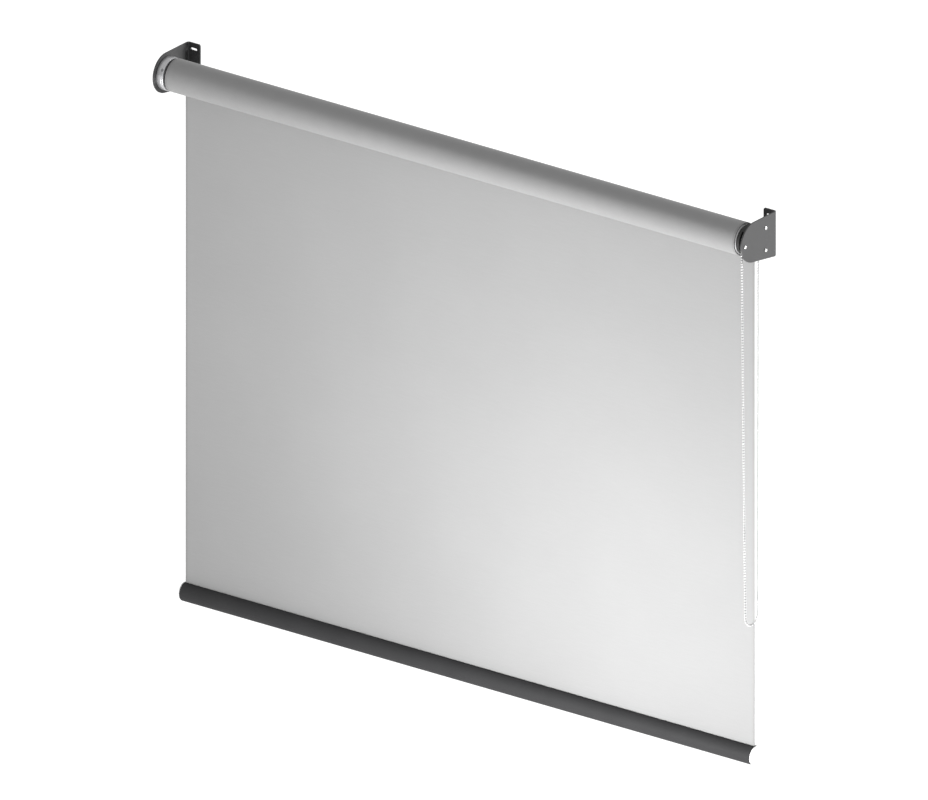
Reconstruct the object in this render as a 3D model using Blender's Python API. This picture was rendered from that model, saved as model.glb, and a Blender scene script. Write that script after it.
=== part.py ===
"""Roller blind with a ball-chain drive, built as an assembly of separate pieces.

Metres, +Z up.  The origin is on the wall, midway between the brackets and level with the roller.
X runs along the roller towards the chain end and +Y runs back into the wall.
"""
from math import acos, asin, atan2, cos, degrees, hypot, pi, radians, sin, sqrt, tan

import bmesh
import bpy
from mathutils import Matrix, Vector

# Overall sizes
WIDTH = 1.475                   # between the outer faces of the two brackets
AXIS_Y = -0.076                 # roller axis, in front of the wall
BAR_Z = -1.129                  # axis of the bottom bar with the blind lowered
SIDE_GAP = 0.025                # outer bracket face to the edge of the fabric
FIT = 0.0003                    # gap between pieces that touch
STAGGER = 0.0002                # keeps the faces of two crossing guides out of one plane

# Brackets
PLATE_T = 0.003
NOSE_R = 0.0425                 # rounded front of the side plate, on the roller axis
FOOT_Z = -0.055                 # lower end of the bracket at the wall
FOOT_ROUND = 0.008
FLANGE_W = 0.032                # wall flange, turned towards the middle of the blind
FLANGE_ROUND = 0.0045
BEND_R = 0.003                  # inside radius of the bend
SLOT_L = 0.016                  # wall screw slots, end to end
SLOT_W = 0.0055
SLOT_X = 0.0165                 # slot centre from the outer face
SLOT_EDGE = 0.013               # slot centre from the flange's upper and lower ends

# Screws that hold the two end fittings
SCREW_R = 0.002
HEAD_R = 0.0038
HEAD_H = 0.0022
HEAD_RIM = 0.0008               # straight part of the head, under its dome
DRIVE_SCREWS = ((0.0375, 0.018), (0.0375, -0.030), (-0.031, -0.001))   # Y and Z from the axis
IDLE_SCREW_CIRCLE_R = 0.024
IDLE_SCREW_L = 0.0085           # under the head

# Roller tube and fabric
TUBE_R = 0.0315
TUBE_WALL = 0.0018
TUBE_PROUD = 0.0020             # tube beyond the fabric at each end
GROOVE_W = 0.006                # fabric groove along the tube
GROOVE_DEPTH = 0.0033
KEY_WALL = 0.0015               # metal round the groove, inside the tube
ROLL_T = 0.0022                 # wraps left on the tube
FABRIC_T = 0.0006

# Chain and its wheel
BEAD_D = 0.0045
BEAD_PITCH = 0.006
WHEEL_BEADS = 29                # pockets round the wheel
WHEEL_T = 0.0074
WHEEL_X = 0.0108                # middle of the wheel from the outer face
RIM_OVER_PITCH = 0.0018

# Drive end
MOUNT_T = 0.002
MOUNT_LAND = 0.0002             # mount plate's boss beyond the guard
MOUNT_EAR_R = 0.0068
CORE_TAIL_R = 0.007
CORE_FLANGE_R = 0.014
CORE_R = 0.010
SPRING_WIRE = 0.0015
SPRING_GAP = 0.0005             # between the core and its springs, and round them
SPRING_PITCH = 0.0021
SPRING_TURNS = 4
SPRING_STEPS = 14               # points in one turn
SPRING_X = (0.0180, 0.0290)     # first turn of each brake spring, from the outer face
DOG_T = 0.0011                  # finger on the wheel that frees the springs
DOG_L = 0.022
DOG_ANGLE = 55.0
CROWN_CAVITY_L = 0.027
COLLAR_UNDER = 0.0005           # crown's collar under the tube's radius
COLLAR_T = 0.0037               # its width, which leaves the tube's end in sight
COLLAR_GAP = 0.0006             # running gap beside the wheel
PLUG_L = 0.048                  # crown and plug, length inside the tube
CLIP_T = 0.0012
CLIP_OPENING = 35.0             # half angle of the clip's gap
CLIP_LAND = 0.002               # core left beyond its clip
GUARD_T = 0.0022
GUARD_RISE = 55.0               # angle above the axis up to which the chain is left open

# Idle end
HOUSING_R = 0.035
HOUSING_T = 0.016
HOUSING_ROUND = 0.002
BEARING_R = 0.016
BEARING_W = 0.0094
AXLE_R = 0.006
AXLE_X = 0.066                  # inner end of the axle, from the outer face
IDLE_COLLAR_UNDER = 0.001       # plug's collar under the tube's radius
LOCK_R = 0.0025
LOCK_ANGLE = 31.0               # lock screw above the front of the housing
LOCK_DEPTH = 0.012

# Bottom bar
BAR_R = 0.020
BAR_WALL = 0.0018
BAR_OVER = 0.0015               # bar beyond the fabric at each end
POCKET_R = 0.004                # round pocket under the slot that holds the hem
POCKET_WALL = 0.0016
POCKET_COVER = 0.002            # metal over the pocket
BAR_SLOT_W = 0.0026
SPLINE_R = 0.003
CAP_T = 0.0025
CAP_PLUG_L = 0.010
BALLAST_R = 0.006
BALLAST_SHORT = 0.016           # rod end inside the bar's end

# Chain hanging below the wheel: Y from the roller axis, and Z
CHAIN_ROUTE = (
    (-0.0277, 0.000), (-0.0268, -0.060), (-0.0256, -0.150), (-0.0241, -0.260), (-0.0224, -0.380),
    (-0.0206, -0.500), (-0.0188, -0.620), (-0.0170, -0.720), (-0.0158, -0.780), (-0.0150, -0.812),
    (-0.0121, -0.8227), (-0.0045, -0.8311), (0.0055, -0.8338), (0.0153, -0.8309), (0.0227, -0.8224),
    (0.0254, -0.811), (0.0256, -0.780), (0.0258, -0.720), (0.0260, -0.620), (0.0263, -0.500),
    (0.0266, -0.380), (0.0269, -0.260), (0.0272, -0.150), (0.0275, -0.060), (0.0277, 0.000),
)
CHAIN_STEPS = 3                 # points read from the smooth curve between two of the route's points

# Facets round each kind of curve
ROLL_STEPS = 96
LARGE_STEPS = 60
WHEEL_STEPS = 44
MEDIUM_STEPS = 40
SMALL_STEPS = 24
TINY_STEPS = 12
CORNER_STEPS = 5
SHARP_ANGLE = 30.0

# Values that follow from the sizes above
HALF = WIDTH / 2
FABRIC_HALF = HALF - SIDE_GAP
TUBE_HALF = FABRIC_HALF + TUBE_PROUD
TUBE_END = HALF - TUBE_HALF                 # tube end from the outer face
ROLL_R = TUBE_R + FIT + ROLL_T
TUBE_BORE_R = TUBE_R - TUBE_WALL
COLLAR_R = TUBE_R - COLLAR_UNDER
IDLE_COLLAR_R = TUBE_R - IDLE_COLLAR_UNDER
PLUG_R = TUBE_BORE_R - FIT
KEY_R = TUBE_R - GROOVE_DEPTH - KEY_WALL
KEY_W = GROOVE_W + 2 * KEY_WALL
SHEET_Y = AXIS_Y + ROLL_R + FIT + FABRIC_T / 2
PITCH_R = WHEEL_BEADS * BEAD_PITCH / (2 * pi)
RIM_R = PITCH_R + RIM_OVER_PITCH
GUARD_R = max(COLLAR_R, PITCH_R + BEAD_D / 2) + 2 * FIT
GUARD_SIDE = WHEEL_X + BEAD_D / 2 + FIT     # side of the guard's lower arms next to the chain
MOUNT_BOSS_R = GUARD_R + GUARD_T + MOUNT_LAND
MOUNT_X = PLATE_T + FIT
MOUNT_END = MOUNT_X + MOUNT_T
WHEEL_NEAR = WHEEL_X - WHEEL_T / 2
WHEEL_FAR = WHEEL_X + WHEEL_T / 2
COLLAR_X = WHEEL_FAR + COLLAR_GAP
COLLAR_FAR = COLLAR_X + COLLAR_T
COLLAR_END = TUBE_END - FIT
PLUG_END = TUBE_END + PLUG_L
CLIP_X = PLUG_END + FIT
HOUSING_END = MOUNT_X + HOUSING_T
DOG_R = CORE_R + SPRING_WIRE + 2 * SPRING_GAP
CAVITY_R = DOG_R + DOG_T + SPRING_GAP
BAR_HALF = FABRIC_HALF + BAR_OVER
BAR_BORE_R = BAR_R - BAR_WALL
POCKET_Z = BAR_R - POCKET_COVER - POCKET_R  # middle of the pocket above the bar's axis
SPLINE_Z = BAR_Z + POCKET_Z
SHEET_FOOT = SPLINE_Z + SPLINE_R + FIT

FINISHES = {
    "bracket": ((0.17, 0.17, 0.17), 0.55, 0.4),
    "bright_steel": ((0.80, 0.80, 0.80), 0.25, 1.0),
    "steel": ((0.45, 0.45, 0.46), 0.40, 1.0),
    "aluminium": ((0.70, 0.70, 0.70), 0.30, 1.0),
    "housing": ((0.55, 0.55, 0.55), 0.35, 0.6),
    "black_plastic": ((0.015, 0.015, 0.015), 0.45, 0.0),
    "white_plastic": ((0.80, 0.80, 0.80), 0.40, 0.0),
    "fabric": ((0.48, 0.48, 0.48), 0.90, 0.0),
    "bar": ((0.06, 0.06, 0.06), 0.45, 0.2),
}


def clear_scene():
    """Empty the scene before modelling."""
    for obj in list(bpy.data.objects):
        bpy.data.objects.remove(obj, do_unlink=True)


def finish(name):
    """The material of one finish, made once."""
    made = bpy.data.materials.get(name)
    if made:
        return made
    colour, roughness, metallic = FINISHES[name]
    made = bpy.data.materials.new(name)
    made.use_nodes = True
    shader = made.node_tree.nodes["Principled BSDF"]
    shader.inputs["Base Color"].default_value = (*colour, 1.0)
    shader.inputs["Roughness"].default_value = roughness
    shader.inputs["Metallic"].default_value = metallic
    return made


def empty(name, location):
    """A named empty that moving pieces are parented to."""
    made = bpy.data.objects.new(name, None)
    made.location = location
    bpy.context.collection.objects.link(made)
    return made


def piece(name, form, material, parent=None):
    """Turn a bmesh into one named object with its finish."""
    bmesh.ops.recalc_face_normals(form, faces=form.faces)
    mesh = bpy.data.meshes.new(name)
    form.to_mesh(mesh)
    form.free()
    mesh.shade_smooth()
    mesh.set_sharp_from_angle(angle=radians(SHARP_ANGLE))
    made = bpy.data.objects.new(name, mesh)
    made.data.materials.append(finish(material))
    made.parent = parent
    bpy.context.collection.objects.link(made)
    return made


def combine(target, form, operation):
    """Cut, join or intersect a piece with a form, through a hidden guide object."""
    guide = piece(f"{target.name}_{operation.lower()}_{len(target.modifiers)}", form, "steel", target.parent)
    guide.hide_render = True
    guide.display_type = "WIRE"
    boolean = target.modifiers.new(guide.name, "BOOLEAN")
    boolean.operation = operation
    boolean.object = guide


def arc(centre, radius, start, end, steps):
    """Points of an arc between two angles in degrees, ends included."""
    angles = [radians(start + (end - start) * i / steps) for i in range(steps + 1)]
    return [(centre[0] + radius * cos(a), centre[1] + radius * sin(a)) for a in angles]


def rounded(before, corner, after, radius, steps=CORNER_STEPS):
    """Points of the arc that rounds one corner of an outline."""
    point = Vector(corner)
    towards = (Vector(before) - point).normalized()
    away = (Vector(after) - point).normalized()
    half = acos(max(-1.0, min(1.0, towards.dot(away)))) / 2
    centre = point + (towards + away).normalized() * (radius / sin(half))
    first = point + towards * (radius / tan(half)) - centre
    last = point + away * (radius / tan(half)) - centre
    turn = atan2(first.x * last.y - first.y * last.x, first.dot(last))
    return [tuple(centre + Matrix.Rotation(turn * i / steps, 2) @ first) for i in range(steps + 1)]


def prism(outline, axis, low, high):
    """A closed outline extruded along an axis; its points are the other two coordinates in order."""
    form = bmesh.new()
    index = "XYZ".index(axis)
    corners = []
    for u, v in outline:
        place = [u, v]
        place.insert(index, low)
        corners.append(form.verts.new(place))
    face = form.faces.new(corners)
    grown = bmesh.ops.extrude_face_region(form, geom=[face])
    step = Vector([high - low if i == index else 0.0 for i in range(3)])
    moved = [v for v in grown["geom"] if isinstance(v, bmesh.types.BMVert)]
    bmesh.ops.translate(form, verts=moved, vec=step)
    return form


def box(low, high):
    """An axis-aligned block between two corners."""
    outline = [(low[0], low[1]), (high[0], low[1]), (high[0], high[1]), (low[0], high[1])]
    return prism(outline, "Z", low[2], high[2])


def turned(profile, steps, closed=False):
    """A profile of (x, radius) points turned about the X axis; a closed one makes a ring."""
    form = bmesh.new()
    corners = [form.verts.new((x, 0.0, r)) for x, r in profile]
    edges = [form.edges.new(pair) for pair in zip(corners, corners[1:])]
    if closed:
        edges.append(form.edges.new((corners[-1], corners[0])))
    bmesh.ops.spin(
        form, geom=corners + edges, cent=(0, 0, 0), axis=(1, 0, 0), angle=2 * pi, steps=steps, use_merge=True
    )
    bmesh.ops.remove_doubles(form, verts=form.verts, dist=1e-6)
    return form


def solid_rod(start, end, radius, steps=SMALL_STEPS, at=(0.0, 0.0)):
    """A plain round rod along X, with its axis at a given Y and Z."""
    form = turned([(start, 0.0), (start, radius), (end, radius), (end, 0.0)], steps)
    bmesh.ops.translate(form, verts=form.verts, vec=(0.0, at[0], at[1]))
    return form


def ring(start, end, inner, outer, steps):
    """A plain round ring along X."""
    return turned([(start, inner), (start, outer), (end, outer), (end, inner)], steps, closed=True)


def end_x(side, distance):
    """X of a place measured inwards from a bracket's outer face; side is +1 at the chain end."""
    return side * (HALF - distance)


def side_outline():
    """Side view of a bracket: a round nose on the roller axis and a foot that drops towards the wall."""
    wall = STAGGER
    foot = (wall, FOOT_Z)
    reach = hypot(foot[0] - AXIS_Y, foot[1])
    tangent = degrees(atan2(foot[1], foot[0] - AXIS_Y) - acos(NOSE_R / reach)) + 360.0
    nose = arc((AXIS_Y, 0.0), NOSE_R, 90.0, tangent, SMALL_STEPS)
    return [(wall, NOSE_R), *nose, *rounded(nose[-1], foot, (wall, NOSE_R), FOOT_ROUND)]


def bracket(name, side, screws, parent):
    """A bent sheet bracket: side plate, wall flange, two wall slots and holes for the end fitting."""
    bend = BEND_R + PLATE_T
    outer = (HALF, 0.0)
    inner = (HALF - PLATE_T, -PLATE_T)
    margin = PLATE_T
    front = AXIS_Y - 2 * NOSE_R
    free = HALF - FLANGE_W
    spare = free - margin
    section = [(HALF, front), *rounded((HALF, front), outer, (spare, 0.0), bend), (spare, 0.0)]
    section += [(spare, -PLATE_T), *rounded((spare, -PLATE_T), inner, (inner[0], front), BEND_R)]
    section += [(inner[0], front)]
    made = piece(name, prism(section, "Z", FOOT_Z - margin, NOSE_R + margin), "bracket", parent)
    combine(made, prism(side_outline(), "X", spare - margin, HALF + margin), "INTERSECT")
    low = (free, FOOT_Z - STAGGER)
    high = (free, NOSE_R + STAGGER)
    beyond = HALF + 2 * margin
    face = [(beyond, low[1]), (beyond, high[1])]
    face += rounded((beyond, high[1]), high, low, FLANGE_ROUND)
    face += rounded(high, low, (beyond, low[1]), FLANGE_ROUND)
    combine(made, prism(face, "Y", front - margin, margin), "INTERSECT")
    for level in (NOSE_R - SLOT_EDGE, FOOT_Z + SLOT_EDGE):
        reach = (SLOT_L - SLOT_W) / 2
        right = arc((HALF - SLOT_X + reach, level), SLOT_W / 2, -90.0, 90.0, TINY_STEPS)
        left = arc((HALF - SLOT_X - reach, level), SLOT_W / 2, 90.0, 270.0, TINY_STEPS)
        combine(made, prism(right + left, "Y", -2 * PLATE_T, PLATE_T), "DIFFERENCE")
    for y, z in screws:
        hole = solid_rod(HALF - 2 * PLATE_T, HALF + PLATE_T, SCREW_R + FIT, TINY_STEPS, (AXIS_Y + y, z))
        combine(made, hole, "DIFFERENCE")
    if side < 0:
        made.scale.x = -1.0
        for modifier in made.modifiers:
            modifier.object.scale.x = -1.0
    return made


def screw(name, side, y, z, length, parent):
    """A low round-headed screw put in from the outer face of a bracket."""
    rim = -FIT - HEAD_RIM
    dome = [(rim - (HEAD_H - HEAD_RIM) * sin(a), HEAD_R * cos(a)) for a in (radians(30), radians(60))]
    profile = [(length, 0.0), (length, SCREW_R), (-FIT, SCREW_R), (-FIT, HEAD_R)]
    profile += [(rim, HEAD_R), *dome, (-FIT - HEAD_H, 0.0)]
    form = turned([(end_x(side, x), r) for x, r in profile], TINY_STEPS)
    bmesh.ops.translate(form, verts=form.verts, vec=(0.0, y, z))
    return piece(name, form, "bright_steel", parent)


def circle_points(radius, count, start):
    """Evenly spaced (y, z) points on a circle round the roller axis."""
    angles = [radians(start + 360.0 * i / count) for i in range(count)]
    return [(radius * cos(a), radius * sin(a)) for a in angles]


def key_slot(start, end, clearance):
    """Block that clears the groove's key along a plug or the crown."""
    half = KEY_W / 2 + clearance
    return box((min(start, end), -half, KEY_R - clearance), (max(start, end), half, TUBE_R))


def mount_plate(parent):
    """Plate behind the chain wheel: a round boss with three ears, tapped for the bracket screws."""
    form = bmesh.new()
    discs = [(0.0, 0.0, MOUNT_BOSS_R, MEDIUM_STEPS)]
    discs += [(y, z, MOUNT_EAR_R, SMALL_STEPS) for y, z in DRIVE_SCREWS]
    for y, z, radius, steps in discs:
        for distance in (MOUNT_X, MOUNT_END):
            for v, w in arc((y, z), radius, 0.0, 360.0 * (steps - 1) / steps, steps - 1):
                form.verts.new((end_x(1, distance), v, w))
    hull = bmesh.ops.convex_hull(form, input=form.verts)
    spare = [v for v in hull["geom_interior"] if isinstance(v, bmesh.types.BMVert)]
    bmesh.ops.delete(form, geom=spare, context="VERTS")
    bmesh.ops.dissolve_limit(form, angle_limit=radians(0.5), verts=form.verts, edges=form.edges)
    made = piece("drive_mount_plate", form, "bracket", parent)
    holes = [(y, z, SCREW_R) for y, z in DRIVE_SCREWS] + [(0.0, 0.0, CORE_TAIL_R)]
    for y, z, radius in holes:
        cutter = solid_rod(end_x(1, MOUNT_END + FIT), end_x(1, PLATE_T), radius + FIT, SMALL_STEPS, (y, z))
        combine(made, cutter, "DIFFERENCE")
    return made


def drive_core(parent):
    """Fixed core: a tail in the mount plate, a flange, and the shaft that wheel and crown run on."""
    clip_far = CLIP_X + CLIP_T + 2 * FIT
    groove_r = CORE_R - CLIP_T
    flange_x = MOUNT_END + FIT
    shaft_x = WHEEL_NEAR - FIT
    core_end = clip_far + CLIP_LAND
    profile = [
        (MOUNT_X, 0.0), (MOUNT_X, CORE_TAIL_R), (flange_x, CORE_TAIL_R), (flange_x, CORE_FLANGE_R),
        (shaft_x, CORE_FLANGE_R), (shaft_x, CORE_R), (CLIP_X, CORE_R), (CLIP_X, groove_r),
        (clip_far, groove_r), (clip_far, CORE_R), (core_end, CORE_R), (core_end, 0.0),
    ]
    form = turned([(end_x(1, x), r) for x, r in profile], SMALL_STEPS)
    piece("drive_core", form, "black_plastic", parent)
    clip_x = CLIP_X + FIT
    inner = groove_r + FIT
    outer = CORE_R + CLIP_T
    outline = arc((0.0, 0.0), outer, 90.0 + CLIP_OPENING, 450.0 - CLIP_OPENING, SMALL_STEPS)
    outline += arc((0.0, 0.0), inner, 450.0 - CLIP_OPENING, 90.0 + CLIP_OPENING, SMALL_STEPS)
    clip = prism(outline, "X", end_x(1, clip_x + CLIP_T), end_x(1, clip_x))
    piece("core_clip", clip, "steel", parent)


def brake_spring(name, start, parent):
    """One wrap spring round the core, a few turns of square wire."""
    radius = CORE_R + SPRING_GAP + SPRING_WIRE / 2
    steps = SPRING_STEPS
    curve = bpy.data.curves.new(name, "CURVE")
    curve.dimensions = "3D"
    curve.bevel_depth = SPRING_WIRE / 2
    curve.bevel_resolution = 0
    curve.use_fill_caps = True
    spline = curve.splines.new("POLY")
    count = steps * SPRING_TURNS + 1
    spline.points.add(count - 1)
    for i, point in enumerate(spline.points):
        angle = 2 * pi * i / steps
        x = end_x(1, start + SPRING_PITCH * i / steps)
        point.co = (x, radius * cos(angle), radius * sin(angle), 1.0)
    made = bpy.data.objects.new(name, curve)
    made.data.materials.append(finish("steel"))
    made.parent = parent
    bpy.context.collection.objects.link(made)


def chain_wheel(parent):
    """Chain wheel: two rims with a round bead groove between them, and a finger that frees the brake."""
    groove_r = BEAD_D / 2 + FIT
    groove = [(-groove_r, RIM_R), *arc((0.0, PITCH_R), groove_r, 180.0, 360.0, TINY_STEPS), (groove_r, RIM_R)]
    profile = [(WHEEL_FAR, CORE_R + FIT), (WHEEL_FAR, RIM_R)]
    profile += [(WHEEL_X - x, r) for x, r in groove]
    profile += [(WHEEL_NEAR, RIM_R), (WHEEL_NEAR, CORE_R + FIT)]
    form = turned([(end_x(1, x), r) for x, r in profile], WHEEL_STEPS, closed=True)
    made = piece("chain_wheel", form, "black_plastic", parent)
    finger = arc((0.0, 0.0), DOG_R, -DOG_ANGLE / 2, DOG_ANGLE / 2, TINY_STEPS)
    finger += arc((0.0, 0.0), DOG_R + DOG_T, DOG_ANGLE / 2, -DOG_ANGLE / 2, TINY_STEPS)
    root = WHEEL_T / 4
    dog = prism(finger, "X", end_x(1, WHEEL_FAR + DOG_L), end_x(1, WHEEL_FAR - root))
    combine(made, dog, "UNION")


def crown(parent):
    """Drive crown: a collar beside the wheel and a barrel that turns the tube by its key."""
    deep = COLLAR_X + CROWN_CAVITY_L
    profile = [
        (COLLAR_X, CAVITY_R), (COLLAR_X, COLLAR_R), (COLLAR_FAR, COLLAR_R), (COLLAR_FAR, PLUG_R),
        (PLUG_END, PLUG_R), (PLUG_END, CORE_R + FIT), (deep, CORE_R + FIT), (deep, CAVITY_R),
    ]
    form = turned([(end_x(1, x), r) for x, r in profile], MEDIUM_STEPS, closed=True)
    made = piece("drive_crown", form, "black_plastic", parent)
    combine(made, key_slot(end_x(1, COLLAR_END), end_x(1, PLUG_END + FIT), 2 * FIT), "DIFFERENCE")


def chain_guard(parent):
    """Fixed arched guard over the crown's collar and the wheel; low down it leaves the chain open."""
    outline = arc((0.0, 0.0), GUARD_R, 0.0, 180.0, SMALL_STEPS)
    outline += arc((0.0, 0.0), GUARD_R + GUARD_T, 180.0, 0.0, SMALL_STEPS)
    form = prism(outline, "X", end_x(1, COLLAR_FAR), end_x(1, MOUNT_END + FIT))
    made = piece("chain_guard", form, "black_plastic", parent)
    reach = 2 * GUARD_R
    top = GUARD_R * sin(radians(GUARD_RISE))
    opening = [(-reach, -reach), (reach, -reach), (reach, top), (-reach, top)]
    combine(made, prism(opening, "X", end_x(1, GUARD_SIDE), end_x(1, PLATE_T)), "DIFFERENCE")


def idle_end(fixed, turning):
    """Housing with its bearing and lock screw on the bracket, axle and plug in the tube."""
    seat = HOUSING_END - FIT - BEARING_W
    relief = AXLE_R + 4 * FIT
    axle_start = MOUNT_X + BEND_R
    edge = HOUSING_ROUND / 2
    shoulder = (HOUSING_END - HOUSING_ROUND, HOUSING_R - HOUSING_ROUND)
    profile = [
        (MOUNT_X, 0.0), (MOUNT_X, HOUSING_R - edge), (MOUNT_X + edge, HOUSING_R),
        *arc(shoulder, HOUSING_ROUND, 90.0, 0.0, CORNER_STEPS),
        (HOUSING_END, BEARING_R + FIT), (seat - FIT, BEARING_R + FIT), (seat - FIT, relief),
        (axle_start - FIT, relief), (axle_start - FIT, 0.0),
    ]
    form = turned([(end_x(-1, x), r) for x, r in profile], MEDIUM_STEPS)
    housing = piece("idle_housing", form, "housing", fixed)
    for i, (y, z) in enumerate(circle_points(IDLE_SCREW_CIRCLE_R, 3, 90.0)):
        hole = solid_rod(end_x(-1, PLATE_T), end_x(-1, IDLE_SCREW_L + FIT), SCREW_R + FIT, TINY_STEPS, (y, z))
        combine(housing, hole, "DIFFERENCE")
        screw(f"idle_screw_{i + 1}", -1, y, z, IDLE_SCREW_L, fixed)
    middle = end_x(-1, (seat + HOUSING_END) / 2)
    turn = Matrix.Rotation(radians(180.0 - LOCK_ANGLE), 4, "X") @ Matrix.Rotation(radians(90.0), 4, "Z")
    shift = Matrix.Translation((middle, 0.0, 0.0)) @ turn
    lock_top = HOUSING_R - FIT
    socket = LOCK_R / 2
    cutter = solid_rod(HOUSING_R - LOCK_DEPTH - FIT, HOUSING_R + LOCK_R, LOCK_R + FIT, TINY_STEPS)
    bmesh.ops.transform(cutter, matrix=shift, verts=cutter.verts)
    combine(housing, cutter, "DIFFERENCE")
    lock_profile = [
        (HOUSING_R - LOCK_DEPTH, 0.0), (HOUSING_R - LOCK_DEPTH, LOCK_R), (lock_top, LOCK_R),
        (lock_top, socket), (lock_top - LOCK_R, socket), (lock_top - LOCK_R, 0.0),
    ]
    lock = turned(lock_profile, TINY_STEPS)
    bmesh.ops.transform(lock, matrix=shift, verts=lock.verts)
    piece("idle_lock_screw", lock, "steel", fixed)

    bore = AXLE_R + FIT
    shield = BEARING_W / 12
    race = (BEARING_R - bore) / 4
    ends = [(seat, bore), (seat, bore + race), (seat + shield, bore + race)]
    ends += [(seat + shield, BEARING_R - race), (seat, BEARING_R - race), (seat, BEARING_R)]
    far = [(2 * seat + BEARING_W - x, r) for x, r in reversed(ends)]
    form = turned([(end_x(-1, x), r) for x, r in ends + far], SMALL_STEPS, closed=True)
    piece("idle_bearing", form, "steel", fixed)

    piece("idle_axle", solid_rod(end_x(-1, axle_start), end_x(-1, AXLE_X), AXLE_R), "steel", turning)
    near = HOUSING_END + COLLAR_GAP
    plug_profile = [
        (near, bore), (near, IDLE_COLLAR_R), (COLLAR_END, IDLE_COLLAR_R), (COLLAR_END, PLUG_R),
        (PLUG_END, PLUG_R), (PLUG_END, bore),
    ]
    form = turned([(end_x(-1, x), r) for x, r in plug_profile], MEDIUM_STEPS, closed=True)
    plug = piece("idle_plug", form, "black_plastic", turning)
    combine(plug, key_slot(end_x(-1, COLLAR_END), end_x(-1, PLUG_END + FIT), 2 * FIT), "DIFFERENCE")


def notched_circle(radius, half_width, floor):
    """A circle with a square notch let into its top, down to a given height."""
    edge = degrees(asin(half_width / radius))
    outline = arc((0.0, 0.0), radius, 90.0 + edge, 450.0 - edge, LARGE_STEPS)
    return [*outline, (half_width, floor), (-half_width, floor)]


def roller(parent):
    """Tube with a fabric groove, the strip that locks the fabric in it, and the wraps on the tube."""
    floor = TUBE_R - GROOVE_DEPTH
    outline = notched_circle(TUBE_R, GROOVE_W / 2, floor)
    tube = piece("roller_tube", prism(outline, "X", -TUBE_HALF, TUBE_HALF), "aluminium", parent)
    bore = notched_circle(TUBE_BORE_R, KEY_W / 2, KEY_R)
    past = TUBE_HALF + TUBE_PROUD
    combine(tube, prism(bore, "X", -past, past), "DIFFERENCE")
    width = GROOVE_W / 2 - FIT
    crest = sqrt(TUBE_R**2 - width**2) - FIT
    strip = box((-FABRIC_HALF, -width, floor + FIT), (FABRIC_HALF, width, crest))
    piece("fabric_strip", strip, "white_plastic", parent)
    wraps = ring(-FABRIC_HALF, FABRIC_HALF, TUBE_R + FIT, ROLL_R, ROLL_STEPS)
    piece("fabric_roll", wraps, "fabric", parent)


def bottom_bar(parent):
    """Round bar with a hem pocket under its slot, two end caps, hem spline and ballast rod."""
    past = BAR_HALF + BAR_OVER
    pocket_at = (0.0, POCKET_Z)
    half = BAR_SLOT_W / 2
    mouth = degrees(asin(half / BAR_R))
    throat = degrees(asin(half / POCKET_R))
    outline = arc((0.0, 0.0), BAR_R, 90.0 + mouth, 450.0 - mouth, LARGE_STEPS)
    outline += arc(pocket_at, POCKET_R, 90.0 - throat, throat - 270.0, SMALL_STEPS)
    bar = piece("bottom_bar", prism(outline, "X", -BAR_HALF, BAR_HALF), "bar", parent)
    boss_r = POCKET_R + POCKET_WALL
    across = (BAR_BORE_R**2 - boss_r**2 + POCKET_Z**2) / (2 * POCKET_Z)
    side = sqrt(BAR_BORE_R**2 - across**2)
    bore_edge = degrees(atan2(side, across))
    boss_edge = degrees(atan2(across - POCKET_Z, side))
    hollow = arc((0.0, 0.0), BAR_BORE_R, 90.0 + bore_edge, 450.0 - bore_edge, LARGE_STEPS)
    hollow += arc(pocket_at, boss_r, boss_edge, -180.0 - boss_edge, TINY_STEPS)[1:-1]
    combine(bar, prism(hollow, "X", -past, past), "DIFFERENCE")
    spline = solid_rod(-FABRIC_HALF, FABRIC_HALF, SPLINE_R, TINY_STEPS, pocket_at)
    piece("hem_spline", spline, "white_plastic", parent)
    rod_z = BALLAST_R + 2 * FIT - BAR_BORE_R
    rod_half = BAR_HALF - BALLAST_SHORT
    rod = solid_rod(-rod_half, rod_half, BALLAST_R, SMALL_STEPS, (0.0, rod_z))
    piece("ballast_rod", rod, "steel", parent)
    plug_r = BAR_BORE_R - 2 * FIT
    for name, side in (("bar_cap_left", -1), ("bar_cap_right", 1)):
        inside = BAR_HALF - CAP_PLUG_L
        face = BAR_HALF + FIT
        round_r = CAP_T / 3
        profile = [
            (inside, 0.0), (inside, plug_r), (face, plug_r), (face, BAR_R), (face + CAP_T - round_r, BAR_R),
            (face + CAP_T, BAR_R - round_r), (face + CAP_T, 0.0),
        ]
        cap = piece(name, turned([(side * x, r) for x, r in profile], MEDIUM_STEPS), "white_plastic", parent)
        clear = POCKET_R + POCKET_WALL + FIT
        at = sorted((side * (inside - FIT), side * face))
        combine(cap, solid_rod(at[0], at[1], clear, SMALL_STEPS, pocket_at), "DIFFERENCE")


def fabric_sheet():
    """The hanging fabric, from the back of the roll down to the hem spline."""
    half = FABRIC_T / 2
    form = box((-FABRIC_HALF, SHEET_Y - half, SHEET_FOOT), (FABRIC_HALF, SHEET_Y + half, 0.0))
    piece("fabric_sheet", form, "fabric")


def smooth_route(points, steps):
    """Points read from a smooth curve through the route's points."""
    route = [Vector(p) for p in points]
    route = [2 * route[0] - route[1], *route, 2 * route[-1] - route[-2]]
    read = []
    for a, b, c, d in zip(route, route[1:], route[2:], route[3:]):
        near = (c - a).normalized() * (c - b).length
        far = (d - b).normalized() * (c - b).length
        for i in range(steps):
            t = i / steps
            blend = b * (2 * t**3 - 3 * t**2 + 1) + near * (t**3 - 2 * t**2 + t)
            read.append(blend + c * (3 * t**2 - 2 * t**3) + far * (t**3 - t**2))
    return [*read, route[-2]]


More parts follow.
